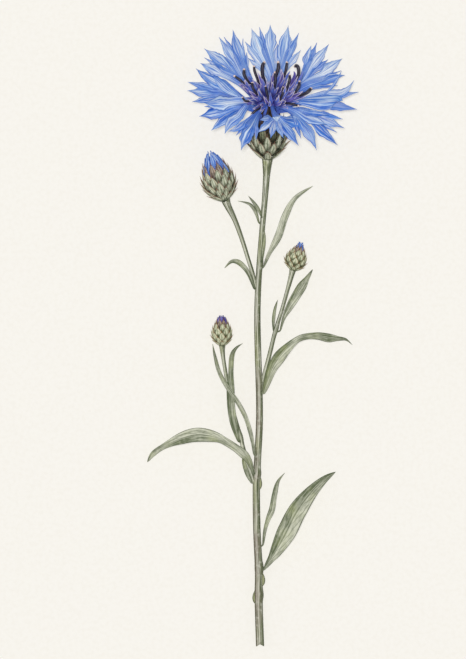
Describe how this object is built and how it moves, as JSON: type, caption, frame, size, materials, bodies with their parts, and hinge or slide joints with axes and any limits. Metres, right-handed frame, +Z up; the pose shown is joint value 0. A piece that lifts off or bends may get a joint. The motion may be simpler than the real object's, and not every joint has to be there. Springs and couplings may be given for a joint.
{
  "type": "cornflower",
  "caption": "Cut stem of a cornflower lying down: an open blue head on a bent neck, closed buds on side stems and narrow grey-green leaves.",
  "frame": {"origin": "centre of the bounding box at its bottom, on the surface that the flower lies on", "axes": "+Y along the stem from the cut end to the open head, +X to the right seen from above, +Z up from the surface"},
  "size_m": [0.0601, 0.1766, 0.0237],
  "materials": {
    "stem": "ribbed green plant stem with fine down",
    "leaf": "matte grey-green leaf with a pale midrib",
    "bract": "matte sage-green bracts with brown fringed tips",
    "petal": "soft matte blue petal with pale streaks",
    "anther": "dark violet anther column",
    "core": "dry brown receptacle"
  },
  "bodies": {
    "root": {"bud_lower_left_florets": "petal", "bud_lower_left_involucre": "bract", "bud_right_florets": "petal", "bud_right_involucre": "bract", "bud_upper_left_florets": "petal", "bud_upper_left_involucre": "bract", "disc_floret_01": "anther", "disc_floret_02": "anther", "disc_floret_03": "anther", "disc_floret_04": "anther", "disc_floret_05": "anther", "disc_floret_06": "anther", "disc_floret_07": "anther", "disc_floret_08": "anther", "disc_floret_09": "anther", "disc_floret_10": "anther", "disc_floret_11": "anther", "disc_floret_12": "anther", "disc_floret_13": "anther", "disc_floret_14": "anther", "disc_floret_15": "anther", "involucre_row_1": "bract", "involucre_row_2": "bract", "involucre_row_3": "bract", "involucre_row_4": "bract", "leaf_along_lower_left": "leaf", "leaf_bract_upper_right": "leaf", "leaf_crossing_lower_left": "leaf", "leaf_large_left": "leaf", "leaf_large_lower_right": "leaf", "leaf_large_right": "leaf", "leaf_narrow_lower_right": "leaf", "leaf_neck_inner": "leaf", "leaf_neck_outer": "leaf", "leaf_right_side_stem": "leaf", "leaf_sheath_lower_left": "leaf", "leaf_small_right_side_stem": "leaf", "leaf_upper_left_side_stem": "leaf", "leaf_upper_right": "leaf", "main_stem": "stem", "ray_floret_01": "petal", "ray_floret_02": "petal", "ray_floret_03": "petal", "ray_floret_04": "petal", "ray_floret_05": "petal", "ray_floret_06": "petal", "ray_floret_07": "petal", "ray_floret_08": "petal", "ray_floret_09": "petal", "ray_floret_10": "petal", "ray_floret_11": "petal", "ray_floret_12": "petal", "ray_floret_13": "petal", "ray_floret_14": "petal", "ray_floret_15": "petal", "ray_floret_16": "petal", "receptacle": "core", "side_stem_lower_left": "stem", "side_stem_right": "stem", "side_stem_upper_left": "stem"}
  },
  "joints": []
}
